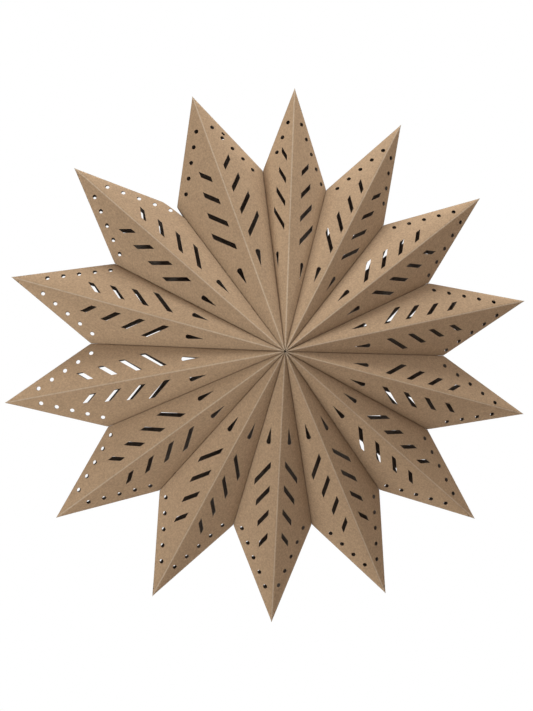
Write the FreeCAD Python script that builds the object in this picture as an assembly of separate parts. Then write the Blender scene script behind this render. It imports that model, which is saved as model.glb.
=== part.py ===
import FreeCAD, Part
import itertools
import math
import os
from FreeCAD import Vector

# Hanging star of folded paper, in millimetres. Its axis is Y, its front faces -Y and +Z is up.
# The origin is the middle of the star, halfway between the front hub and the back hub.
tip_radius = 300.0
notch_radius = 198.0
half_depth = 70.0
paper = 0.35

# Each point is one folded sheet. It is glued to its neighbours by strips turned in along its valleys.
glue_strip = 8.0
hub_gap = 1.2

# The points are fanned open by hand, so they are not all alike. The first stands at the top, and
# they go clockwise seen from the front. One angle for each point, from notch to notch, in degrees.
openings = [21.5, 23.0, 25.0, 25.0, 25.5, 26.0, 25.5, 26.0, 26.5, 26.0, 26.5, 26.0, 27.0, 30.5]
# How far the notch after each point lies outside the notch radius.
notch_pushes = [-4.0, -5.0, -2.0, -2.0, -1.0, -2.0, -1.0, -1.0, 1.0, 4.0, 6.0, 5.0, -3.0, 7.0]
# Direction of the notch before the first point, anticlockwise from +X.
last_notch_deg = 93.8
# A ridge stands in the middle of its opening, apart from the first and the last, which lean back
# and forward by these angles.
first_lean_deg = 2.6
last_lean_deg = -1.0

# Slots, slanted in a herringbone beside each ridge. Places are measured from the tip along the
# ridge and outwards from the ridge.
slot_count = 4
slot_first = 91.0
slot_pitch = 25.4
slot_width = 4.3
slot_slant_deg = 39.0
slot_inner = 9.0
slot_reach = 18.2
slot_reach_step = 2.9

# A drop with its point towards the hub, halfway between ridge and valley.
drop_from_hub = 99.0
drop_length = 20.0
drop_radius = 2.5
drop_round_sides = 5

# A row of small holes inside each outline fold.
dot_count = 5
dot_first = 39.5
dot_pitch = 17.6
dot_inset = 9.2
dot_radius = 2.4
dot_sides = 4
# A dot that comes closer than this to the notch is left out.
dot_margin = 2.0

# The seams. At the last notch the last sheet laps over the first, so the slots beside that notch
# sit further out, and the lap covers the first sheet's innermost dot. The thirteenth sheet has the
# corner of its strip cut off, where the fan was closed.
first_slide = 15.0
last_slide = 9.0
closing_point = 13
closing_corner = 5.0

# Oblong hole for the hanging thread, in the last point between its dots and its outline fold.
thread_along = 53.0
thread_inset = 4.4
thread_length = 4.6
thread_width = 2.6

# How far a cutter stands out on either side of the sheet, and round the closing corner.
cut_reach = 1.5
corner_reach = 16.0

points = len(openings)
even_half = math.pi / points
full_turn = sum(openings)


# A place on the star, by its distance from the axis, its direction and its height along the axis.
def spot(radius, angle, y):
    return Vector(radius * math.cos(angle), y, radius * math.sin(angle))


# The half-space on the inner side of a plane, as its outward direction and its offset.
def half_space(outward, place):
    unit = Vector(outward)
    unit.normalize()
    return unit, unit.dot(place)


# The plane through three places, facing away from an inner place.
def plane_through(a, b, c, inner):
    direction = (b - a).cross(c - a)
    if direction.dot(inner - a) > 0:
        direction = -direction
    return half_space(direction, a)


# The same plane moved inwards.
def moved_in(plane, distance):
    return plane[0], plane[1] - distance


# Where three planes meet, or nothing if two of them are parallel.
def meeting(first, second, third):
    volume = first[0].dot(second[0].cross(third[0]))
    if abs(volume) < 1e-6:
        return None
    total = second[0].cross(third[0]) * first[1]
    total += third[0].cross(first[0]) * second[1]
    total += first[0].cross(second[0]) * third[1]
    return total * (1.0 / volume)


# The solid inside a set of half-spaces: its corners are the meetings that lie inside them all.
def convex_solid(planes):
    corners = []
    for trio in itertools.combinations(planes, 3):
        place = meeting(*trio)
        if place is None or any(n.dot(place) > c + 1e-6 for n, c in planes):
            continue
        if all((place - other).Length > 1e-5 for other in corners):
            corners.append(place)
    faces = []
    for normal, offset in planes:
        around = [p for p in corners if abs(normal.dot(p) - offset) < 1e-5]
        if len(around) < 3:
            continue
        middle = sum(around, Vector()) * (1.0 / len(around))
        side = (around[0] - middle).normalize()
        up = normal.cross(side)
        around.sort(key=lambda p: math.atan2((p - middle).dot(up), (p - middle).dot(side)))
        faces.append(Part.Face(Part.makePolygon(around + [around[0]])))
    solid = Part.makeSolid(Part.makeShell(faces))
    if solid.Volume < 0:
        solid.reverse()
    return solid


# One flat face of a point: its tip, its notch and its hub, with directions along and across it.
class Facet:
    def __init__(self, tip, notch, hub):
        self.tip = tip
        self.notch = notch
        self.hub = hub
        self.along = (hub - tip).normalize()
        edge = notch - tip
        rise = edge - self.along * edge.dot(self.along)
        self.height = rise.Length
        self.across = rise * (1.0 / self.height)
        self.normal = self.along.cross(self.across)
        self.ridge = (hub - tip).Length
        self.edge = edge.Length
        self.foot = edge.dot(self.along)
        self.squeeze = 1.0
        self.stretch = 1.0

    # A place on the sheet, from the tip along the ridge and outwards from the ridge.
    def at(self, along, across):
        return self.tip + self.along * along + self.across * (across * self.squeeze)

    # A straight-sided cutter through the sheet.
    def cutter(self, outline):
        places = [self.at(s, d) - self.normal * cut_reach for s, d in outline]
        face = Part.Face(Part.makePolygon(places + [places[0]]))
        return face.extrude(self.normal * (2 * cut_reach))


# The facet of an evenly opened star, which the pattern is laid out on.
even = Facet(spot(tip_radius, 0.0, 0.0), spot(notch_radius, even_half, 0.0), Vector(0, -half_depth, 0))


# Slot outlines: the long sides are slanted, and the ends are parallel to the ridge.
def slot_outlines(slide):
    slant = math.radians(slot_slant_deg)
    along_width = slot_width / math.sin(slant)
    outlines = []
    for index in range(slot_count):
        reach = slot_reach + slot_reach_step * index
        half_run = 0.5 * (reach - slot_inner) / math.tan(slant)
        middle = slot_first + slot_pitch * index - slide
        inner = middle + half_run
        outer = middle - half_run
        half = 0.5 * along_width
        outlines.append([(inner - half, slot_inner), (inner + half, slot_inner),
                         (outer + half, reach), (outer - half, reach)])
    return outlines


# The drop's outline: a round head away from the hub, and straight sides that meet in a point.
def drop_outline(slide):
    turn = 0.5 * math.atan2(even.height, even.ridge - even.foot)
    reach = drop_from_hub + slide
    point = reach - 0.5 * drop_length
    head = reach + 0.5 * drop_length - drop_radius
    opening = math.acos(drop_radius / (head - point))
    sweep = 2 * (math.pi - opening)
    count = max(2, round(drop_round_sides * sweep / (2 * math.pi)))
    outline = [(point, 0.0)]
    for index in range(count + 1):
        angle = math.pi - opening - sweep * index / count
        outline.append((head + drop_radius * math.cos(angle), drop_radius * math.sin(angle)))
    return [(even.ridge - x * math.cos(turn) + y * math.sin(turn), x * math.sin(turn) + y * math.cos(turn))
            for x, y in outline]


# A place on the even facet, from the tip along the outline fold and inwards from that fold.
def beside_outline(along, inset):
    run = even.foot / even.edge
    rise = even.height / even.edge
    return along * run + inset * rise, along * rise - inset * run


# The small holes that fit between the tip and the notch of this facet.
def dot_outlines(facet):
    outlines = []
    for index in range(dot_count):
        along = (dot_first + dot_pitch * index) * facet.stretch
        if along + dot_radius + dot_margin > facet.edge:
            continue
        s, d = beside_outline(along, dot_inset)
        corners = [2 * math.pi * k / dot_sides for k in range(dot_sides)]
        outlines.append([(s + dot_radius * math.cos(a), d + dot_radius * math.sin(a)) for a in corners])
    return outlines


# The oblong hole lies along the outline fold, with a blunt point at each end.
def thread_outline():
    half = 0.5 * thread_length
    side = 0.5 * thread_width
    straight = half - side
    outline = [(straight, side), (half, 0.0), (straight, -side),
               (-straight, -side), (-half, 0.0), (-straight, side)]
    return [beside_outline(thread_along + x, thread_inset + y) for x, y in outline]


# One folded sheet: four facets round a hollow, open towards its neighbours apart from the strips.
def make_point(left, tip_angle, right, left_radius, right_radius, number):
    tip = spot(tip_radius, tip_angle, 0.0)
    inside = (spot(left_radius, left, 0.0) + spot(right_radius, right, 0.0)) * 0.25
    hub_plane = half_space(spot(-1.0, tip_angle, 0.0), spot(hub_gap, tip_angle, 0.0))
    outer = [hub_plane]
    inner = []
    windows = []
    cutters = []
    for angle, radius, turn in ((left, left_radius, 1), (right, right_radius, -1)):
        lapped = number == 1 and turn > 0
        lapping = number == points and turn < 0
        slide = first_slide if lapped else last_slide if lapping else 0.0
        notch = spot(radius, angle, 0.0)
        side = half_space(spot(1.0, angle + turn * math.pi / 2, 0.0), notch)
        outer.append(side)
        inner.append(moved_in(side, paper))
        window = [(side[0], side[1] + cut_reach), (-side[0], -side[1] + paper + cut_reach)]
        for face in (-1, 1):
            hub = Vector(0, face * half_depth, 0)
            sheet = plane_through(tip, notch, hub, inside)
            outer.append(sheet)
            inner.append(moved_in(sheet, paper))
            fold = plane_through(notch, hub, notch + side[0], inside)
            window.append(moved_in(fold, glue_strip))
            facet = Facet(tip, notch, hub)
            facet.squeeze = facet.height / even.height
            facet.stretch = 1.0 if lapped else facet.edge / even.edge
            outlines = slot_outlines(slide) + [drop_outline(slide)] + dot_outlines(facet)
            if lapping:
                outlines.append(thread_outline())
            cutters += [facet.cutter(outline) for outline in outlines]
        window.append(half_space(spot(-1.0, angle, 0.0), Vector()))
        windows.append(convex_solid(window))
    solid = convex_solid(outer).cut(convex_solid(inner + [half_space(hub_plane[0], Vector())]))
    solid = solid.cut(windows + cutters)
    if number == closing_point:
        notch = spot(right_radius, right, 0.0)
        bisector = ((tip - notch).normalize() - notch.normalize()).normalize()
        corner = [half_space(bisector, notch + bisector * closing_corner)]
        for direction in (Vector(1, 0, 0), Vector(0, 1, 0), Vector(0, 0, 1)):
            corner.append(half_space(direction, notch + direction * corner_reach))
            corner.append(half_space(-direction, notch - direction * corner_reach))
        solid = solid.cut(convex_solid(corner))
    return solid


def main():
    os.makedirs("parts", exist_ok=True)
    notch = math.radians(last_notch_deg)
    total = 0.0
    for number in range(1, points + 1):
        width = 2 * math.pi * openings[number - 1] / full_turn
        lean = first_lean_deg if number == 1 else last_lean_deg if number == points else 0.0
        tip_angle = notch - 0.5 * width + math.radians(lean)
        left_radius = notch_radius + notch_pushes[number - 2]
        right_radius = notch_radius + notch_pushes[number - 1]
        solid = make_point(notch, tip_angle, notch - width, left_radius, right_radius, number)
        name = "point_%02d" % number
        solid.exportStep("parts/%s.step" % name)
        total += solid.Volume
        print(name, "solids", len(solid.Solids), "valid", solid.isValid(), "volume %.1f" % solid.Volume)
        notch -= width
    print("paper volume %.0f mm3" % total)


main()
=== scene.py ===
import math

import bmesh
import bpy
import numpy as np
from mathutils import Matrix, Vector
from mathutils.geometry import delaunay_2d_cdt


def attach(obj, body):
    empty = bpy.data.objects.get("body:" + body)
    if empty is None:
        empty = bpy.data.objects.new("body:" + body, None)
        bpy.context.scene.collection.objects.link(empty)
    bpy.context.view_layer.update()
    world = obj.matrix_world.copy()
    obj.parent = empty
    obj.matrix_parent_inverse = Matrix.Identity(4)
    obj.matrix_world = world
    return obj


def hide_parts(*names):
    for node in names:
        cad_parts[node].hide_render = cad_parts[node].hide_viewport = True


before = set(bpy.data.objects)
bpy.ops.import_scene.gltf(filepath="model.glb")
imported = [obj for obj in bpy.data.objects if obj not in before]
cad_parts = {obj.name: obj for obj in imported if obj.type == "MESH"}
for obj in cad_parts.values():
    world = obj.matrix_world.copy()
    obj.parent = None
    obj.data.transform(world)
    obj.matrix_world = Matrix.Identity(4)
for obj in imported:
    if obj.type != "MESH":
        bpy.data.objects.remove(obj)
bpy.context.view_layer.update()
print("frame loaded:", len(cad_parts), "folded sheets")

millimetre = 0.001

# the star's own sizes: lengths in metres, openings in degrees, pushes of the notches in millimetres
star = {
    "tipRadius": 0.300,
    "notchRadius": 0.198,
    "halfDepth": 0.070,
    "hubGap": 0.0012,
    "openings": [21.5, 23.0, 25.0, 25.0, 25.5, 26.0, 25.5, 26.0, 26.5, 26.0, 26.5, 26.0, 27.0, 30.5],
    "notchPushes": [-4.0, -5.0, -2.0, -2.0, -1.0, -2.0, -1.0, -1.0, 1.0, 4.0, 6.0, 5.0, -3.0, 7.0],
    "lastNotchDeg": 93.8,
    "leanDeg": {1: 2.6, 14: -1.0},
    "closingPoint": 13,
    "closingCorner": 0.005,
}

# the cut pattern: s runs from the tip along the ridge, d from the ridge outwards
pattern = {
    "slotCount": 4,
    "slotFirst": 0.091,
    "slotPitch": 0.0254,
    "slotWidth": 0.0043,
    "slotSlantDeg": 39.0,
    "slotInner": 0.009,
    "slotReach": 0.0182,
    "slotReachStep": 0.0029,
    "dropFromHub": 0.099,
    "dropLength": 0.020,
    "dropRadius": 0.0025,
    "dropSides": 18,
    "dotCount": 5,
    "dotFirst": 0.0395,
    "dotPitch": 0.0176,
    "dotInset": 0.0092,
    "dotRadius": 0.0024,
    "dotSides": 20,
    "dotMargin": 0.002,
    "firstSlide": 0.015,
    "lastSlide": 0.009,
    "threadAlong": 0.053,
    "threadInset": 0.0044,
    "threadLength": 0.0046,
    "threadWidth": 0.0026,
}

# how the paper takes its folds
sheet = {
    "thickness": 0.00035,
    "ridgeRound": 0.0008,       # half width of the rounded ridge
    "outlineRound": 0.0005,
    "valleyRound": 0.0003,
    "valleyPull": 0.00008,      # how far a valley fold stands off its neighbour
    "pullFade": 0.005,
    "stripFade": 0.0022,
    "wallGap": 0.00002,         # how far a glue strip stands off its neighbour
    "hubPull": 0.05,            # near the hub: pull and rounding of a valley as shares of the radius
    "hubRound": 0.055,
    "roundShare": 0.3,          # a rounded fold takes no more of the width than this
    "stripRows": (0.0, 0.0003, 0.0006, 0.0012, 0.0030, 0.0055, 0.0080),
    "foldRows": (0.0003, 0.0006, 0.0012, 0.0024),
    "secondRows": (0.93, 1.07), # rows beside the second fold, as shares of its gap
    "step": 0.0045,             # spacing of the surface grid
    "clearance": 0.4,           # grid to rows, in steps
    "holeStep": 0.8,            # spacing along the holes, in steps
    "holeClear": 0.0009,
    "edgeClear": 0.0001,
    "joinReach": 0.000003,      # places closer than this are one
    "sharpDeg": 48.0,
    "bowLow": 0.0008,
    "bowHigh": 0.0020,
    "waveRise": 0.0002,
    "waveLength": 0.11,
    "seed": 11,
    "secondGap": 0.009,         # where a glue strip shows through as a second soft fold
    "secondRise": 0.0003,
    "secondHubFade": 2.2,       # it fades where the face is narrower than this many gaps
    "secondRimFade": 0.016,     # and within this distance of the outline fold
    # stronger ones: by point and side, how high, and how far from the valley
    "secondStrong": {(1, 0): (0.0019, 0.009), (1, 1): (0.0014, 0.009), (2, 0): (0.0022, 0.014),
                     (14, 1): (0.0036, 0.022), (12, 1): (0.0018, 0.012), (5, 0): (-0.0016, 0.012)},
}

# In sheets folded by hand the cuts lie a few millimetres off their even places. For each point, its left
# and then its right front face: how far the slots lie off along and across, and then the drop, in
# millimetres.
frontCuts = [
    ((3.5, -0.5, 9.5, 2.5), (4.0, 4.0, 5.0, 4.5)),
    ((1.0, -3.5, 3.0, -3.5), (0.0, 3.0, 2.0, 3.0)),
    ((2.5, -2.5, 3.5, -2.5), (1.5, 1.5, 3.5, 1.5)),
    ((2.5, -1.0, 5.0, -1.0), (2.5, 2.0, 4.5, 1.5)),
    ((3.5, -3.0, 6.0, -2.5), (3.0, 1.5, 4.5, 1.5)),
    ((4.5, -2.0, 5.0, -1.5), (4.5, -0.5, 5.0, -0.5)),
    ((4.0, -1.0, 5.5, -0.5), (4.5, 0.0, 5.0, 0.0)),
    ((4.5, -2.0, 4.0, -1.5), (3.5, 0.5, 4.5, 0.5)),
    ((3.0, -1.5, 4.5, -1.0), (2.0, 0.0, 2.5, 0.0)),
    ((0.0, -1.0, 1.5, -1.0), (0.5, 0.0, 1.5, 0.5)),
    ((0.0, -1.5, 1.5, -1.0), (-1.0, 0.0, -3.0, -0.5)),
    ((-0.5, -2.0, 0.5, -0.5), (-1.0, 0.0, 1.0, 0.0)),
    ((-0.5, 0.0, 0.5, 1.0), (-0.5, -0.5, 1.0, -2.0)),
    ((2.0, 0.5, 4.0, 1.5), (2.5, -3.0, -0.5, -5.5)),
]
# How far the row of dots lies off, in millimetres: the first dot along its row, what is added to each
# step, and how much further in from the outline fold. The rows on the back follow those on the front.
dotRows = [
    ((1.90, 1.60, 0.50), (1.30, -0.70, -1.00)),
    ((-2.00, 0.00, 2.80), (1.50, 0.00, -0.30)),
    ((-3.50, 0.10, 1.00), (-1.90, 0.40, -1.30)),
    ((-1.10, 0.40, 1.80), (-1.10, 0.50, -3.20)),
    ((-2.00, 0.40, 3.50), (-0.40, 0.50, -1.60)),
    ((0.00, 0.00, 3.30), (0.20, 0.10, 0.20)),
    ((0.40, -0.20, 2.60), (1.80, 0.10, -0.10)),
    ((1.50, -0.60, 3.20), (1.10, -0.35, 0.20)),
    ((-0.70, -0.70, 1.70), (-0.10, -0.20, -0.80)),
    ((-1.20, -0.40, 0.60), (0.00, -0.10, -2.00)),
    ((-0.90, -0.30, -0.10), (0.20, -0.10, -0.80)),
    ((-0.30, 0.10, -0.30), (0.00, 0.00, -2.10)),
    ((-0.30, -0.40, -0.80), (0.00, 0.00, 0.00)),
    ((-3.40, -2.05, 1.00), (1.90, -1.35, 0.30)),
]
# The same as frontCuts for the back faces, and last a further shift of the dots and the thread's hole.
# A hole lets daylight through only where the cuts of front and back fall in line.
backCuts = [
    ((0.0, 0.0, 0.0, 0.0, 4.0, 0.0), (0.0, 0.0, 0.0, 0.0, 4.0, 0.0)),
    ((-3.0, 0.0, 0.0, 0.0, 2.0, 0.0), (0.0, -2.0, 0.0, 0.0, 2.0, 0.0)),
    ((4.0, 3.0, 0.0, 0.0, 2.0, 0.0), (4.0, 0.0, 0.0, 0.0, 3.0, 0.0)),
    ((7.0, 1.0, 0.0, 0.0, 1.0, 0.0), (3.0, 0.0, 1.0, 0.0, 2.0, 0.0)),
    ((0.0, 0.0, 0.0, -1.0, 1.0, 0.0), (7.0, 3.0, 0.0, 0.0, 1.0, 0.0)),
    ((4.0, 1.0, 0.0, 0.0, 1.0, 0.0), (7.0, 3.0, 0.0, 0.0, 1.0, 0.0)),
    ((-5.0, 0.0, 0.0, 0.0, 1.0, 0.0), (0.0, 0.0, 0.0, 0.0, 2.0, 0.0)),
    ((0.0, -2.0, 0.0, 0.0, 1.0, 0.0), (1.0, 0.0, 0.0, 0.0, 2.0, 0.0)),
    ((-2.0, -1.0, 0.0, 0.0, 1.0, -1.0), (2.0, 0.0, 0.0, 0.0, 0.0, 2.0)),
    ((-3.0, -2.0, 0.0, 0.0, 0.0, -2.0), (3.0, 1.0, 0.0, 0.0, -1.0, 1.0)),
    ((-3.0, 0.0, 0.0, -2.0, 0.0, 0.0), (1.0, -1.0, 1.0, 0.0, 0.0, 0.0)),
    ((0.0, 1.0, 0.0, 0.0, 0.0, 0.0), (0.0, -1.0, 0.0, 0.0, 1.0, -1.0)),
    ((0.0, 0.0, 0.0, 0.0, 1.0, 0.0), (-1.0, -1.0, 0.0, 0.0, 0.0, 1.0)),
    ((2.0, 0.5, 0.0, 0.0, 4.0, 0.0), (-6.0, -1.0, 0.0, 0.0, 6.5, 0.0)),
]

pointCount = len(star["openings"])
bows = np.random.default_rng(sheet["seed"]).uniform(sheet["bowLow"], sheet["bowHigh"], (pointCount, 2, 2))
waves = np.random.default_rng(sheet["seed"] + 1).uniform(0.0, 2.0 * math.pi, (pointCount, 2, 2))


def unit(v):
    return v / np.linalg.norm(v)


def spot(radius, angle, y):
    return np.array([radius * math.cos(angle), y, radius * math.sin(angle)])


# One flat face of a point, between its ridge, its outline fold and its valley.
class Facet:
    def __init__(self, tip, notch, hub, wall):
        self.tip, self.notch, self.hub, self.wall = tip, notch, hub, wall
        self.along = unit(hub - tip)
        edge = notch - tip
        self.foot = float(edge @ self.along)
        rise = edge - self.along * self.foot
        self.height = float(np.linalg.norm(rise))
        self.across = rise / self.height
        self.ridge = float(np.linalg.norm(hub - tip))
        self.edge = float(np.linalg.norm(edge))
        self.valley = float(np.linalg.norm(hub - notch))
        turn = np.cross(self.along, self.across)
        self.flip = float(np.sign(turn[1] * hub[1]))
        self.normal = turn * self.flip
        self.inRidge = self.across
        self.inOutline = (self.along * self.height - self.across * self.foot) / self.edge
        self.inValley = -(self.along * self.height + self.across * (self.ridge - self.foot)) / self.valley

    # distances inwards from the ridge, the outline fold and the valley
    def gaps(self, s, d):
        outline = (s * self.height - d * self.foot) / self.edge
        valley = ((self.ridge - s) * self.height - d * (self.ridge - self.foot)) / self.valley
        return d, outline, valley

    # distance of flat places inwards from the nearest fold
    def leastGap(self, places):
        return np.min(np.column_stack(self.gaps(places[:, 0], places[:, 1])), axis=1)

    # width of the face at s: it grows evenly from the tip to the notch, then shrinks to the hub
    def width(self, s):
        return self.height * np.minimum(s / self.foot, (self.ridge - s) / (self.ridge - self.foot))


# a face of the even star, on which the cut pattern is laid out
even = Facet(spot(star["tipRadius"], 0.0, 0.0), spot(star["notchRadius"], math.pi / pointCount, 0.0),
             np.array([0.0, -star["halfDepth"], 0.0]), None)


# A slot is a parallelogram: its ends lie along the ridge and its long sides slant away from it.
def slotOutlines(slide):
    slant = math.radians(pattern["slotSlantDeg"])
    half = 0.5 * pattern["slotWidth"] / math.sin(slant)
    inner = pattern["slotInner"]
    outlines = []
    for index in range(pattern["slotCount"]):
        reach = pattern["slotReach"] + pattern["slotReachStep"] * index
        run = 0.5 * (reach - inner) / math.tan(slant)
        middle = pattern["slotFirst"] + pattern["slotPitch"] * index - slide
        outlines.append(np.array([(middle + run - half, inner), (middle + run + half, inner),
                                  (middle - run + half, reach), (middle - run - half, reach)]))
    return outlines


# The drop is a point joined to an arc by its two tangents, laid on the bisector of ridge and valley.
def dropOutline(slide):
    turn = 0.5 * math.atan2(even.height, even.ridge - even.foot)
    reach = pattern["dropFromHub"] + slide
    radius = pattern["dropRadius"]
    point = reach - 0.5 * pattern["dropLength"]
    head = reach + 0.5 * pattern["dropLength"] - radius
    opening = math.acos(radius / (head - point))
    angles = np.linspace(math.pi - opening, opening - math.pi, pattern["dropSides"])
    x = np.concatenate(([point], head + radius * np.cos(angles)))
    y = np.concatenate(([0.0], radius * np.sin(angles)))
    return np.column_stack((even.ridge - x * math.cos(turn) + y * math.sin(turn),
                            x * math.sin(turn) + y * math.cos(turn)))


# A place on the even face, from the tip along the outline fold and inwards from that fold.
def besideOutline(along, inset):
    run, rise = even.foot / even.edge, even.height / even.edge
    return np.column_stack((along * run + inset * rise, along * rise - inset * run))


# Circles: centre plus radius times (cos, sin), set inside the outline fold at an even pitch.
def dotOutlines(facet, squeeze, stretch, row):
    angles = np.linspace(0.0, 2.0 * math.pi, pattern["dotSides"], endpoint=False)
    ring = pattern["dotRadius"] * np.column_stack((np.cos(angles), np.sin(angles)))
    outlines = []
    for index in range(pattern["dotCount"]):
        along = (pattern["dotFirst"] + pattern["dotPitch"] * index) * stretch + row[0] + row[1] * index
        if along + pattern["dotRadius"] + pattern["dotMargin"] > facet.edge:
            continue
        outlines.append(besideOutline(np.array([along]), pattern["dotInset"] + row[2]) * (1.0, squeeze) + ring)
    return outlines


# The thread's hole is two half circles joined by straight sides, along the outline fold.
def threadOutline():
    side = 0.5 * pattern["threadWidth"]
    straight = 0.5 * pattern["threadLength"] - side
    angles = np.linspace(-0.5 * math.pi, 0.5 * math.pi, 9)
    x = np.concatenate((straight + side * np.cos(angles), -straight - side * np.cos(angles)))
    y = np.concatenate((side * np.sin(angles), -side * np.sin(angles)))
    return besideOutline(pattern["threadAlong"] + x, pattern["threadInset"] + y)


# Turns an outline anticlockwise: twice its area is the sum of the cross products of its corners.
def anticlockwise(outline):
    following = np.roll(outline, -1, axis=0)
    area = np.sum(outline[:, 0] * following[:, 1] - outline[:, 1] * following[:, 0])
    return outline if area > 0.0 else outline[::-1]


# Distance of places outside a convex outline: the greatest distance beyond any of its sides.
def beyond(outline, places):
    side = np.roll(outline, -1, axis=0) - outline
    side /= np.linalg.norm(side, axis=1)[:, None]
    outward = np.column_stack((side[:, 1], -side[:, 0]))
    return np.max(places @ outward.T - np.sum(outline * outward, axis=1), axis=1)


# Keeps the part of a convex outline on the inner side of a line a*s + b*d + c = 0.
def clipped(outline, line):
    kept = []
    height = outline @ np.array(line[:2]) + line[2]
    for here, there, low, high in zip(outline, np.roll(outline, -1, axis=0), height, np.roll(height, -1)):
        if low >= 0.0:
            kept.append(here)
        if low * high < 0.0:
            kept.append(here + (there - here) * low / (low - high))
    return np.array(kept)


# Points along a closed outline, at even steps on each side.
def sampled(outline, step):
    rows = []
    for here, there in zip(outline, np.roll(outline, -1, axis=0)):
        count = max(1, math.ceil(np.linalg.norm(there - here) / step - 1e-6))
        rows.append(here + (there - here) * (np.arange(count) / count)[:, None])
    return np.concatenate(rows)


# A row of places along a line and beside it, without those that come too near another fold.
def rowBeside(facet, line, inset, clear):
    start, way, length, inward = line
    run = (np.arange(int(length / sheet["step"])) + 0.5) * sheet["step"]
    places = start + way * run[:, None] + inward * inset
    return places[facet.leastGap(places) > clear]


# The flat sheet of one facet: rows beside each fold, an even triangular grid between them, and the
# cut holes. Gives the places and the triangles.
def flatSheet(facet, outline, holes):
    step = sheet["step"]
    clear = sheet["clearance"] * step
    lines = [(np.array([0.0, 0.0]), np.array([1.0, 0.0]), facet.ridge, np.array([0.0, 1.0])),
             (np.array([0.0, 0.0]), np.array([facet.foot, facet.height]) / facet.edge, facet.edge,
              np.array([facet.height, -facet.foot]) / facet.edge),
             (np.array([facet.foot, facet.height]),
              np.array([facet.ridge - facet.foot, -facet.height]) / facet.valley, facet.valley,
              -np.array([facet.height, facet.ridge - facet.foot]) / facet.valley)]
    inside = [rowBeside(facet, line, inset, 0.98 * inset) for inset in sheet["foldRows"] for line in lines]
    inside += [rowBeside(facet, lines[2], share * sheet["secondGap"], clear) for share in sheet["secondRows"]]
    rise = step * math.sqrt(0.75)
    d, s = np.meshgrid(np.arange(1, int(facet.height / rise) + 1) * rise,
                       np.arange(int(facet.ridge / step) + 1) * step, indexing="ij")
    s = s + 0.5 * step * (np.round(d / rise) % 2)
    places = np.column_stack((s.ravel(), d.ravel()))
    besideRow = np.abs(facet.gaps(places[:, 0], places[:, 1])[2] - sheet["secondGap"]) > clear
    inside.append(places[(facet.leastGap(places) > sheet["foldRows"][-1] + clear) & besideRow])
    inside = np.concatenate(inside)
    inside = inside[beyond(outline, inside) < -sheet["edgeClear"]]
    for hole in holes:
        inside = inside[beyond(hole, inside) > sheet["holeClear"]]
    loops = [sampled(outline, step)] + [sampled(hole, sheet["holeStep"] * step) for hole in holes]
    edges, start = [], 0
    for loop in loops:
        index = np.arange(len(loop))
        edges.append(np.column_stack((index, np.roll(index, -1))) + start)
        start += len(loop)
    given = np.concatenate(loops + [inside])
    found = delaunay_2d_cdt(given.tolist(), np.concatenate(edges).tolist(), [], 0, 1e-8)
    places = np.array(found[0])
    triangles = np.array(found[2])
    middles = places[triangles].mean(axis=1)
    keep = beyond(outline, middles) < 0.0
    for hole in holes:
        keep &= beyond(hole, middles) > 0.0
    return places, triangles[keep]


# How far a fold's rounding pulls the paper in at a distance from it: a parabola that meets the
# flat sheet with the same slope, slope * (w - distance)^2 / (2 w).
def rounding(gap, width, slope):
    return slope * np.maximum(0.0, width - gap) ** 2 / (2.0 * width)


# How far a valley fold stands off the wall between two sheets: less and less towards the hub.
def valleyStand(radius):
    return np.minimum(sheet["valleyPull"], sheet["hubPull"] * radius)


# The second soft fold, over the edge of the glue strip: a low tent that rises evenly from the valley to
# the strip's edge and falls evenly to the ridge, and fades towards the hub and the outline.
def secondFold(ridgeGap, outlineGap, valleyGap, width, rise, gap):
    reach = np.minimum(gap, 0.5 * width)
    fall = ridgeGap / np.maximum(ridgeGap + valleyGap - reach, 1e-9)
    tent = np.where(valleyGap < reach, valleyGap / reach, fall)
    fade = np.minimum(1.0, width / (sheet["secondHubFade"] * gap))
    return rise * tent * fade * np.clip(outlineGap / sheet["secondRimFade"], 0.0, 1.0)


# Places of the folded sheet: the flat facet, bowed out by a sine across its width and by the second
# fold, with its ridge and its outline rounded, and its valley edge pulled away from the neighbour.
def foldedFacet(facet, mate, places, bow, wave, second):
    s, d = places[:, 0], places[:, 1]
    ridgeGap, outlineGap, valleyGap = facet.gaps(s, d)
    width = np.maximum(facet.width(s), 1e-6)
    shared = np.maximum(np.minimum(width, mate.width(s)), 1e-6)
    across = np.clip(d / width, 0.0, 1.0)
    body = facet.tip + facet.along * s[:, None] + facet.across * d[:, None]
    swell = bow + sheet["waveRise"] * np.sin(2.0 * math.pi * s / sheet["waveLength"] + wave)
    push = swell * (width / facet.height) * np.sin(math.pi * across)
    push = push + secondFold(ridgeGap, outlineGap, valleyGap, width, *second)
    body = body + facet.normal * push[:, None]
    top = unit(facet.normal + mate.normal)
    reach = np.minimum(sheet["ridgeRound"], sheet["roundShare"] * shared) + 1e-9
    body = body - top * rounding(ridgeGap, reach, -facet.inRidge @ top)[:, None]
    rim = unit(facet.normal * (1.0, 0.0, 1.0))
    reach = np.minimum(sheet["outlineRound"], sheet["roundShare"] * width) + 1e-9
    body = body - rim * rounding(outlineGap, reach, -facet.inOutline @ rim)[:, None]
    return body - foldPull(facet, body, valleyGap)


# The pull at a valley: off the wall, fading with distance, and the rounding of the fold itself.
def foldPull(facet, body, gap):
    radius = np.hypot(body[:, 0], body[:, 2])
    stand = valleyStand(radius) * np.exp(-gap / sheet["pullFade"])
    shoulder = unit(facet.normal + facet.wall)
    reach = np.minimum(sheet["valleyRound"], sheet["hubRound"] * radius) + 1e-9
    bend = rounding(gap, reach, -facet.inValley @ shoulder)
    return facet.wall * stand[:, None] + shoulder * bend[:, None]


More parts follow.
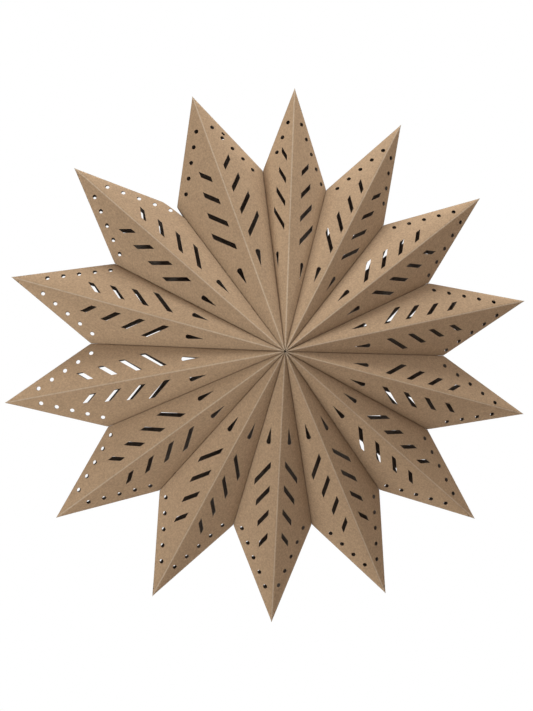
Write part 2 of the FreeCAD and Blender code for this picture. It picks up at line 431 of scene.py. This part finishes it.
# The strip turned in along the valley: rows at growing distances from the fold, each from the
# mitre at the middle plane to the hub, in the plane of the wall.
def valleyStrip(facet, run):
    radial = unit(facet.notch)
    way = unit(facet.hub - facet.notch)
    inward = unit(-radial + (radial @ way) * way)
    depth = np.array(sheet["stripRows"])
    reach = float(facet.notch @ radial)
    first = -inward[1] * depth / way[1]
    last = (reach + (inward @ radial) * depth - run[-1, 1]) / -(way @ radial)
    share = (run[:, 0] - first[0]) / (last[0] - first[0])
    x = first[:, None] + (last - first)[:, None] * share[None, :]
    u = np.repeat(depth[:, None], len(share), axis=1)
    flat = facet.notch + x.ravel()[:, None] * way + u.ravel()[:, None] * inward
    radius = np.hypot(flat[:, 0], flat[:, 2])
    fade = np.exp(-(u.ravel() / sheet["stripFade"]) ** 2)
    stand = sheet["wallGap"] + (valleyStand(radius) - sheet["wallGap"]) * fade
    shoulder = unit(facet.normal + facet.wall)
    width = np.minimum(sheet["valleyRound"], sheet["hubRound"] * radius) + 1e-9
    bend = rounding(u.ravel(), width, -facet.inValley @ shoulder)
    places = flat - facet.wall * stand[:, None] - shoulder * bend[:, None]
    index = np.arange(len(depth) * len(share)).reshape(len(depth), len(share))
    quads = np.stack((index[:-1, :-1], index[:-1, 1:], index[1:, 1:], index[1:, :-1]), axis=-1).reshape(-1, 4)
    return places, quads, u.ravel(), x.ravel()


print("sheet rules ready")


# How far a face's slots, its drop and its dots lie off. On the front the dots have no further shift.
def cutShifts(number, side, face):
    row = backCuts[number - 1][side] if face else frontCuts[number - 1][side] + (0.0, 0.0)
    return millimetre * np.array(row).reshape(3, 2)


# One folded sheet of the star: four facets and their four glue strips.
def makeSheet(number, left, tipAngle, right, leftRadius, rightRadius):
    tip = spot(star["tipRadius"], tipAngle, 0.0)
    outward = unit(tip)
    made = []
    for face in (-1, 1):
        hub = np.array([0.0, face * star["halfDepth"], 0.0])
        pair = []
        for angle, radius, turn in ((left, leftRadius, 1), (right, rightRadius, -1)):
            wall = spot(1.0, angle + turn * math.pi / 2, 0.0)
            pair.append(Facet(tip, spot(radius, angle, 0.0), hub, wall))
        made.append(pair)
    places, polygons, marks = [], [], []
    start = 0
    for side in (0, 1):
        front = made[0][side]
        lapped = number == 1 and side == 0
        lapping = number == pointCount and side == 1
        slide = pattern["firstSlide"] if lapped else pattern["lastSlide"] if lapping else 0.0
        squeeze = front.height / even.height
        stretch = 1.0 if lapped else front.edge / even.edge
        slots = [slot * (1.0, squeeze) for slot in slotOutlines(slide)]
        drop = dropOutline(slide) * (1.0, squeeze)
        dots = dotOutlines(front, squeeze, stretch, millimetre * np.array(dotRows[number - 1][side]))
        if lapping:
            dots.append(threadOutline() * (1.0, squeeze))
        outline = np.array([(0.0, 0.0), (front.ridge, 0.0), (front.foot, front.height)])
        outline = clipped(outline, (front.along @ outward, front.across @ outward,
                                    tip @ outward - star["hubGap"]))
        if number == star["closingPoint"] and side == 1:
            bisector = unit(unit(tip - front.notch) - unit(front.notch))
            outline = clipped(outline, (front.along @ bisector, front.across @ bisector,
                                        (tip - front.notch) @ bisector - star["closingCorner"]))
        for face in (0, 1):
            facet, mate = made[face][side], made[face][1 - side]
            slotShift, dropShift, dotShift = cutShifts(number, side, face)
            holes = [slot + slotShift for slot in slots] + [drop + dropShift] + [dot + dotShift for dot in dots]
            holes = [anticlockwise(hole) for hole in holes]
            flat, triangles = flatSheet(front, outline, holes)
            ridgeGap, outlineGap, valleyGap = front.gaps(flat[:, 0], flat[:, 1])
            onValley = np.abs(valleyGap) < 1e-6
            second = sheet["secondStrong"].get((number, side), (sheet["secondRise"], sheet["secondGap"]))
            bow, wave = bows[number - 1, side, face], waves[number - 1, side, face]
            body = foldedFacet(facet, mate, flat, bow, wave, second)
            places.append(body)
            faced = triangles if facet.flip > 0.0 else triangles[:, ::-1]
            polygons += (faced + start).tolist()
            way = 1.0 if side == 0 else -1.0
            marks.append(np.column_stack((flat[:, 0] + number, way * flat[:, 1], body[:, 1],
                                          ridgeGap, outlineGap, valleyGap)))
            start += len(body)
            # the strip starts from the facet's own valley places, so that the two close up
            edge = body[onValley]
            onLine = facet.tip + facet.along * flat[onValley, :1] + facet.across * flat[onValley, 1:]
            distance = np.linalg.norm(onLine - facet.notch, axis=1)
            order = np.argsort(distance)
            radius = np.hypot(onLine[order, 0], onLine[order, 2])
            strip, quads, depth, along = valleyStrip(facet, np.column_stack((distance[order], radius)))
            strip[:len(order)] = edge[order]
            places.append(strip)
            facing = np.cross(strip[quads[:, 1]] - strip[quads[:, 0]], strip[quads[:, 3]] - strip[quads[:, 0]])
            if np.sum(facing @ facet.wall) < 0.0:
                quads = quads[:, ::-1]
            polygons += (quads + start).tolist()
            far = np.full(len(depth), 1.0)
            marks.append(np.column_stack((along + number, way * (facet.height + depth), strip[:, 1],
                                          far, far, depth)))
            start += len(strip)
    return np.concatenate(places), polygons, np.concatenate(marks)


# Reads one value of every vertex, corner or face.
def fetched(items, key, size, kind):
    found = np.empty(size, kind)
    items.foreach_get(key, found)
    return found


# Joins the facets where they meet, then lays the inner side of the paper one thickness below and
# closes every cut edge with a rim.
def thickPaper(name, places, polygons, marks):
    skin = bpy.data.meshes.new(name + "_skin")
    skin.from_pydata(places, [], polygons)
    labels = ("placeS", "placeD", "placeY", "ridgeGap", "outlineGap", "valleyGap")
    for label, column in zip(labels, marks.T.astype(np.float32)):
        skin.attributes.new(label, "FLOAT", "POINT").data.foreach_set("value", np.ascontiguousarray(column))
    work = bmesh.new()
    work.from_mesh(skin)
    bmesh.ops.remove_doubles(work, verts=work.verts, dist=sheet["joinReach"])
    work.to_mesh(skin)
    work.free()
    count = len(skin.vertices)
    outer = fetched(skin.vertices, "co", count * 3, np.float64).reshape(-1, 3)
    normals = fetched(skin.vertex_normals, "vector", count * 3, np.float64).reshape(-1, 3)
    values = np.array([fetched(skin.attributes[label].data, "value", count, np.float32) for label in labels])
    corners = fetched(skin.loops, "vertex_index", len(skin.loops), np.int32)
    starts = fetched(skin.polygons, "loop_start", len(skin.polygons), np.int32)
    ends = starts + fetched(skin.polygons, "loop_total", len(skin.polygons), np.int32)
    following = np.arange(len(corners)) + 1
    following[ends - 1] = starts
    sides = np.column_stack((corners, corners[following]))
    _, where, uses = np.unique(np.sort(sides, axis=1), axis=0, return_inverse=True, return_counts=True)
    openSides = sides[uses[where.ravel()] == 1]
    rim = np.column_stack((openSides[:, 1], openSides[:, 0], openSides[:, 0] + count, openSides[:, 1] + count))
    shell = [corners[a:b] for a, b in zip(starts, ends)]
    polygons = [c.tolist() for c in shell] + [(c[::-1] + count).tolist() for c in shell] + rim.tolist()
    inner = outer - normals * sheet["thickness"]
    mesh = bpy.data.meshes.new(name)
    mesh.from_pydata(np.concatenate((outer, inner)), [], polygons)
    place = mesh.attributes.new("sheetPlace", "FLOAT_VECTOR", "POINT")
    place.data.foreach_set("vector", np.tile(values[:3].T, (2, 1)).ravel())
    for row, label in enumerate(labels[3:], 3):
        mesh.attributes.new(label, "FLOAT", "POINT").data.foreach_set("value", np.tile(values[row], 2))
    index = np.zeros(len(polygons), np.int32)
    index[len(shell):] = 1
    mesh.polygons.foreach_set("material_index", index)
    mesh.shade_smooth()
    mesh.set_sharp_from_angle(angle=math.radians(sheet["sharpDeg"]))
    bpy.data.meshes.remove(skin)
    return mesh


# the look of the paper: lengths in metres, the rest as shares of the base colour
paperLook = {
    "base": (0.43, 0.29, 0.18, 1.0),
    "roughness": 0.78,
    "roughSpread": 0.12,
    "specular": 0.25,
    "bumpStrength": 0.35,
    "bumpHeight": 0.00012,
    "fibreLength": 0.0045,
    "fibreWidth": 0.0006,
    "grainSize": 0.0021,
    "cloudSize": 0.009,
    "toneSize": 0.21,
    "fibreDark": 0.25,
    "grainDark": 0.38,
    "cloudDark": 0.11,
    "toneDark": 0.06,
    # paler along each ridge: partly the fold's own wear, partly a painted highlight
    "paleWearAndHighlight": (0.72, 0.60, 0.47, 1.0),
    "ridgeHighlightAndWear": 0.50,
    "ridgeWidth": 0.0011,
    # painted shade: a thin dark line in each valley fold
    "creaseShadeDark": 0.30,
    "creaseWidth": 0.0008,
    # painted shade: a wide soft band along a valley
    "shadeDark": 0.13,          # the wide soft band along a valley
    "shadeWidth": 0.009,
    # painted shade: a thin dark line along the outline fold
    "outlineShadeDark": 0.30,
    "edgeWidth": 0.0009,
    "bandPower": 0.8,
    "bandLeast": 0.55,          # what is left of a band where the grain breaks it up
    "bandBreak": 0.9,
    "inside": (0.30, 0.25, 0.215, 1.0),
}
grainSizes = (("Fibre Length", "fibreLength"), ("Fibre Width", "fibreWidth"), ("Grain Size", "grainSize"),
              ("Cloud Size", "cloudSize"), ("Tone Size", "toneSize"))
grainParts = (("Fibres", "fibreDark"), ("Grain", "grainDark"), ("Clouds", "cloudDark"), ("Tone", "toneDark"))


def addSocket(group, name, way, kind, value=None):
    made = group.interface.new_socket(name, in_out=way, socket_type=kind)
    if value is not None:
        made.default_value = value


def addNode(tree, kind, place, **settings):
    node = tree.nodes.new(kind)
    node.location = place
    for key, value in settings.items():
        setattr(node, key, value)
    return node


def mathNode(tree, operation, first, second, place, clamp=False):
    node = addNode(tree, "ShaderNodeMath", place, operation=operation, use_clamp=clamp)
    for socket, value in zip(node.inputs, (first, second)):
        if isinstance(value, (int, float)):
            socket.default_value = value
        elif value is not None:
            tree.links.new(value, socket)
    return node.outputs[0]


# Grain of the paper: long fibres along the sheet, fine flecks, and soft clouds in its thickness.
def grainGroup():
    group = bpy.data.node_groups.new("paperGrain", "ShaderNodeTree")
    addSocket(group, "Place", "INPUT", "NodeSocketVector")
    for label, key in grainSizes:
        addSocket(group, label, "INPUT", "NodeSocketFloat", paperLook[key])
    for name in ("Fibres", "Grain", "Clouds", "Tone", "Height"):
        addSocket(group, name, "OUTPUT", "NodeSocketFloat")
    source = addNode(group, "NodeGroupInput", (-900, 0))
    sink = addNode(group, "NodeGroupOutput", (700, 0))
    link = group.links.new

    def noise(length, width, detail, rough, place):
        stretch = addNode(group, "ShaderNodeCombineXYZ", (-700, place))
        link(mathNode(group, "DIVIDE", 1.0, length, (-860, place)), stretch.inputs[0])
        link(mathNode(group, "DIVIDE", 1.0, width, (-860, place - 60)), stretch.inputs[1])
        link(mathNode(group, "DIVIDE", 1.0, width, (-860, place - 120)), stretch.inputs[2])
        scaled = addNode(group, "ShaderNodeVectorMath", (-520, place), operation="MULTIPLY")
        link(source.outputs["Place"], scaled.inputs[0])
        link(stretch.outputs[0], scaled.inputs[1])
        texture = addNode(group, "ShaderNodeTexNoise", (-340, place))
        texture.inputs["Scale"].default_value = 1.0
        texture.inputs["Detail"].default_value = detail
        texture.inputs["Roughness"].default_value = rough
        link(scaled.outputs[0], texture.inputs["Vector"])
        return texture.outputs["Fac"]

    fibres = noise(source.outputs["Fibre Length"], source.outputs["Fibre Width"], 2.0, 0.5, 500)
    grain = noise(source.outputs["Grain Size"], source.outputs["Grain Size"], 3.0, 0.6, 200)
    clouds = noise(source.outputs["Cloud Size"], source.outputs["Cloud Size"], 4.0, 0.6, -100)
    tone = noise(source.outputs["Tone Size"], source.outputs["Tone Size"], 2.0, 0.5, -400)
    rise = mathNode(group, "MULTIPLY", fibres, 0.6, (100, 300))
    rise = mathNode(group, "ADD", rise, mathNode(group, "MULTIPLY", grain, 0.4, (100, 200)), (300, 300))
    for name, value in (("Fibres", fibres), ("Grain", grain), ("Clouds", clouds), ("Tone", tone)):
        link(value, sink.inputs[name])
    link(rise, sink.inputs["Height"])
    return group


# A band beside a fold: full at the fold, nothing past the width, broken up by the grain.
def bandGroup():
    group = bpy.data.node_groups.new("foldBand", "ShaderNodeTree")
    addSocket(group, "Gap", "INPUT", "NodeSocketFloat", 1.0)
    addSocket(group, "Width", "INPUT", "NodeSocketFloat", 0.001)
    addSocket(group, "Break", "INPUT", "NodeSocketFloat", 0.5)
    addSocket(group, "Band", "OUTPUT", "NodeSocketFloat")
    source = addNode(group, "NodeGroupInput", (-600, 0))
    sink = addNode(group, "NodeGroupOutput", (500, 0))
    share = mathNode(group, "DIVIDE", source.outputs["Gap"], source.outputs["Width"], (-400, 0))
    share = mathNode(group, "ABSOLUTE", share, None, (-300, 0))
    fall = mathNode(group, "SUBTRACT", 1.0, share, (-200, 0), True)
    soft = mathNode(group, "POWER", fall, paperLook["bandPower"], (0, 0), True)
    broken = mathNode(group, "MULTIPLY_ADD", source.outputs["Break"], paperLook["bandBreak"], (100, -150))
    broken.node.inputs[2].default_value = paperLook["bandLeast"]
    group.links.new(mathNode(group, "MULTIPLY", soft, broken, (300, 0), True), sink.inputs["Band"])
    return group


grain = grainGroup()
band = bandGroup()


def attribute(tree, name, place, output="Fac"):
    node = addNode(tree, "ShaderNodeAttribute", place, attribute_name=name, attribute_type="GEOMETRY")
    return node.outputs[output]


# Paper colour: the base, varied by fibres, grain, clouds and tone, darkened by painted shade in and beside a
# valley and at the outline, and mixed with a paler tone along a ridge, partly the fold's wear and partly a
# painted highlight.
def paperMaterial(name, base, highlightAndWearShare, crease, edge, shade):
    material = bpy.data.materials.new(name)
    material.use_nodes = True
    tree = material.node_tree
    tree.nodes.clear()
    link = tree.links.new
    grainNode = addNode(tree, "ShaderNodeGroup", (-900, 0), node_tree=grain)
    link(attribute(tree, "sheetPlace", (-1150, 0), "Vector"), grainNode.inputs["Place"])
    for label, key in grainSizes:
        grainNode.inputs[label].default_value = paperLook[key]

    def foldBand(gap, breakUp, width, height):
        node = addNode(tree, "ShaderNodeGroup", (-680, height), node_tree=band)
        link(attribute(tree, gap, (-900, height)), node.inputs["Gap"])
        link(grainNode.outputs[breakUp], node.inputs["Break"])
        node.inputs["Width"].default_value = paperLook[width]
        return node.outputs["Band"]

    bright = None
    for index, (label, key) in enumerate(grainParts):
        part = mathNode(tree, "SUBTRACT", grainNode.outputs[label], 0.5, (-680, 300 - 120 * index))
        part = mathNode(tree, "MULTIPLY", part, 2.0 * paperLook[key], (-520, 300 - 120 * index))
        bright = part if bright is None else mathNode(tree, "ADD", bright, part, (-380, 300 - 120 * index))
    bright = mathNode(tree, "ADD", bright, 1.0, (-240, 200))
    ridgeBand = foldBand("ridgeGap", "Grain", "ridgeWidth", -300)
    valleyBand = foldBand("valleyGap", "Grain", "creaseWidth", -500)
    edgeBand = foldBand("outlineGap", "Grain", "edgeWidth", -700)
    shadeBand = foldBand("valleyGap", "Clouds", "shadeWidth", -900)
    # paler along the ridge: partly wear, partly a painted highlight
    paleWearAndHighlight = mathNode(tree, "MULTIPLY", ridgeBand, highlightAndWearShare, (-480, -300), True)
    # painted shade: a thin dark line in the valley fold
    creaseShaded = mathNode(tree, "MULTIPLY", valleyBand, -crease, (-480, -500))
    # painted shade: a thin dark line along the outline fold
    outlineShaded = mathNode(tree, "MULTIPLY", edgeBand, -edge, (-480, -700))
    # painted shade: a wide soft band beside the valley
    shaded = mathNode(tree, "MULTIPLY", shadeBand, -shade, (-480, -900))
    bright = mathNode(tree, "ADD", bright, outlineShaded, (-240, 60))
    bright = mathNode(tree, "ADD", bright, mathNode(tree, "ADD", creaseShaded, shaded, (-300, -700)), (0, 50))
    colour = addNode(tree, "ShaderNodeVectorMath", (120, 150), operation="SCALE")
    colour.inputs[0].default_value = base[:3]
    link(bright, colour.inputs["Scale"])
    pale = addNode(tree, "ShaderNodeMix", (260, 150), data_type="RGBA")
    link(paleWearAndHighlight, pale.inputs[0])
    link(colour.outputs[0], pale.inputs[6])
    pale.inputs[7].default_value = paperLook["paleWearAndHighlight"]
    rough = mathNode(tree, "MULTIPLY_ADD", grainNode.outputs["Fibres"], paperLook["roughSpread"], (100, -100))
    rough.node.inputs[2].default_value = paperLook["roughness"] - 0.5 * paperLook["roughSpread"]
    bump = addNode(tree, "ShaderNodeBump", (150, -300))
    bump.inputs["Strength"].default_value = paperLook["bumpStrength"]
    bump.inputs["Distance"].default_value = paperLook["bumpHeight"]
    link(grainNode.outputs["Height"], bump.inputs["Height"])
    shader = addNode(tree, "ShaderNodeBsdfPrincipled", (400, 100))
    shader.inputs["Specular IOR Level"].default_value = paperLook["specular"]
    link(pale.outputs[2], shader.inputs["Base Color"])
    link(rough, shader.inputs["Roughness"])
    link(bump.outputs[0], shader.inputs["Normal"])
    end = addNode(tree, "ShaderNodeOutputMaterial", (700, 100))
    link(shader.outputs[0], end.inputs[0])
    return material


outerPaper = paperMaterial("kraftOutside", paperLook["base"], paperLook["ridgeHighlightAndWear"], paperLook["creaseShadeDark"],
                           paperLook["outlineShadeDark"], paperLook["shadeDark"])
innerPaper = paperMaterial("kraftInside", paperLook["inside"], 0.0, 0.0, 0.0, 0.0)
print("paper ready")

# all the sheets, clockwise from the top
fullTurn = sum(star["openings"])
notchAngle = math.radians(star["lastNotchDeg"])
triangleCount = 0
for number in range(1, pointCount + 1):
    widthAngle = 2.0 * math.pi * star["openings"][number - 1] / fullTurn
    lean = math.radians(star["leanDeg"].get(number, 0.0))
    leftRadius = star["notchRadius"] + millimetre * star["notchPushes"][number - 2]
    rightRadius = star["notchRadius"] + millimetre * star["notchPushes"][number - 1]
    arrays = makeSheet(number, notchAngle, notchAngle - 0.5 * widthAngle + lean, notchAngle - widthAngle,
                       leftRadius, rightRadius)
    name = "folded_sheet_%02d" % number
    mesh = thickPaper(name, *arrays)
    mesh.materials.append(outerPaper)
    mesh.materials.append(innerPaper)
    piece = bpy.data.objects.new(name, mesh)
    bpy.context.scene.collection.objects.link(piece)
    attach(piece, "root")
    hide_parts("point_%02d" % number)
    triangleCount += sum(len(polygon.vertices) - 2 for polygon in mesh.polygons)
    notchAngle -= widthAngle
print("folded sheets:", pointCount, "triangles:", triangleCount)

# camera, light and floor
studio = {
    "cameraPlace": (-0.2025, -1.278, -0.029),
    "lens": 58.53,
    "sensor": 36.0,
    "shiftX": -8.3 / 711.0,
    "shiftY": -2.6 / 711.0,
    "ambient": 0.225,
    "ambientTint": (1.0, 0.82, 0.70, 1.0),
    "floorDrop": -0.9,
    "floorRadius": 1.5,
    "floorFade": (0.45, 0.98),  # where it melts into the background, as shares of its radius
    "floorColour": (0.82, 0.82, 0.82, 1.0),
}
lamps = {
    "topGraze": {"place": (0.0, -0.2, 1.9), "size": 0.6, "watts": 32.5, "tint": (0.93, 0.965, 0.955)},
    "topRight": {"place": (1.29, -0.46, 1.29), "size": 1.0, "watts": 11.5, "tint": (0.93, 0.965, 0.955)},
    "backSoft": {"place": (0.9, 1.7, 0.7), "size": 1.0, "watts": 18.0, "tint": (0.95, 0.98, 1.0)},
    "leftFar": {"place": (-1.7, -0.8, -0.3), "size": 0.8, "watts": 19.0, "tint": (0.92, 0.965, 0.955)},
}


def makeCamera():
    data = bpy.data.cameras.new("camera")
    data.sensor_width = studio["sensor"]
    data.lens = studio["lens"]
    data.shift_x = studio["shiftX"]
    data.shift_y = studio["shiftY"]
    data.clip_start = 0.01
    data.clip_end = 50.0
    camera = bpy.data.objects.new("camera", data)
    bpy.context.scene.collection.objects.link(camera)
    camera.location = studio["cameraPlace"]
    camera.rotation_euler = (-Vector(studio["cameraPlace"])).to_track_quat("-Z", "Y").to_euler()
    bpy.context.scene.camera = camera


def makeLamps():
    for name, lamp in lamps.items():
        data = bpy.data.lights.new(name, "AREA")
        data.shape = "DISK"
        data.size = lamp["size"]
        data.energy = lamp["watts"]
        data.color = lamp["tint"]
        made = bpy.data.objects.new(name, data)
        bpy.context.scene.collection.objects.link(made)
        made.location = lamp["place"]
        made.rotation_euler = (-Vector(lamp["place"])).to_track_quat("-Z", "Y").to_euler()


# White wherever the camera or a reflection sees it, and a plain even light for the object.
def makeWorld():
    world = bpy.data.worlds.new("studio")
    bpy.context.scene.world = world
    world.use_nodes = True
    tree = world.node_tree
    tree.nodes.clear()
    path = addNode(tree, "ShaderNodeLightPath", (-600, 0))
    seen = mathNode(tree, "ADD", path.outputs["Is Camera Ray"], path.outputs["Is Glossy Ray"], (-400, 0))
    seen = mathNode(tree, "ADD", seen, path.outputs["Is Transmission Ray"], (-250, 0), True)
    lit = addNode(tree, "ShaderNodeBackground", (-250, -150))
    lit.inputs[0].default_value = studio["ambientTint"]
    lit.inputs[1].default_value = studio["ambient"]
    white = addNode(tree, "ShaderNodeBackground", (-250, -300))
    white.inputs[0].default_value = (1.0, 1.0, 1.0, 1.0)
    white.inputs[1].default_value = 1.0
    mix = addNode(tree, "ShaderNodeMixShader", (0, 0))
    tree.links.new(seen, mix.inputs[0])
    tree.links.new(lit.outputs[0], mix.inputs[1])
    tree.links.new(white.outputs[0], mix.inputs[2])
    end = addNode(tree, "ShaderNodeOutputWorld", (200, 0))
    tree.links.new(mix.outputs[0], end.inputs[0])


# A disc of floor far under the hanging star, which melts into the white background at its rim.
def makeFloor():
    turn = np.linspace(0.0, 2.0 * math.pi, 96, endpoint=False)
    rings = np.linspace(0.05, 1.0, 12)[:, None] * studio["floorRadius"]
    x, y = (rings * np.cos(turn)).ravel(), (rings * np.sin(turn)).ravel()
    places = np.column_stack((x, y, np.full(len(x), studio["floorDrop"])))
    index = np.arange(len(x)).reshape(len(rings), len(turn))
    following = np.roll(index, -1, axis=1)
    quads = np.stack((index[:-1], index[1:], following[1:], following[:-1]), axis=-1).reshape(-1, 4)
    mesh = bpy.data.meshes.new("floor")
    mesh.from_pydata(places, [], quads.tolist() + [index[0].tolist()])
    material = bpy.data.materials.new("paleFloor")
    material.use_nodes = True
    tree = material.node_tree
    tree.nodes.clear()
    place = addNode(tree, "ShaderNodeTexCoord", (-900, 0))
    flat = addNode(tree, "ShaderNodeVectorMath", (-700, 0), operation="MULTIPLY")
    flat.inputs[1].default_value = (1.0, 1.0, 0.0)
    length = addNode(tree, "ShaderNodeVectorMath", (-500, 0), operation="LENGTH")
    fade = addNode(tree, "ShaderNodeMapRange", (-300, 0), interpolation_type="SMOOTHSTEP")
    fade.inputs["From Min"].default_value = studio["floorFade"][0] * studio["floorRadius"]
    fade.inputs["From Max"].default_value = studio["floorFade"][1] * studio["floorRadius"]
    path = addNode(tree, "ShaderNodeLightPath", (-300, 250))
    seen = mathNode(tree, "MULTIPLY", fade.outputs[0], path.outputs["Is Camera Ray"], (-100, 100))
    matte = addNode(tree, "ShaderNodeBsdfDiffuse", (-100, -100))
    matte.inputs[0].default_value = studio["floorColour"]
    white = addNode(tree, "ShaderNodeEmission", (-100, -250))
    mix = addNode(tree, "ShaderNodeMixShader", (150, 0))
    end = addNode(tree, "ShaderNodeOutputMaterial", (350, 0))
    tree.links.new(place.outputs["Object"], flat.inputs[0])
    tree.links.new(flat.outputs[0], length.inputs[0])
    tree.links.new(length.outputs["Value"], fade.inputs["Value"])
    tree.links.new(seen, mix.inputs[0])
    tree.links.new(matte.outputs[0], mix.inputs[1])
    tree.links.new(white.outputs[0], mix.inputs[2])
    tree.links.new(mix.outputs[0], end.inputs[0])
    mesh.materials.append(material)
    floor = bpy.data.objects.new("floor", mesh)
    bpy.context.scene.collection.objects.link(floor)


makeCamera()
makeLamps()
makeWorld()
makeFloor()
bpy.context.scene.view_settings.view_transform = "Standard"
print("camera, light and floor ready")
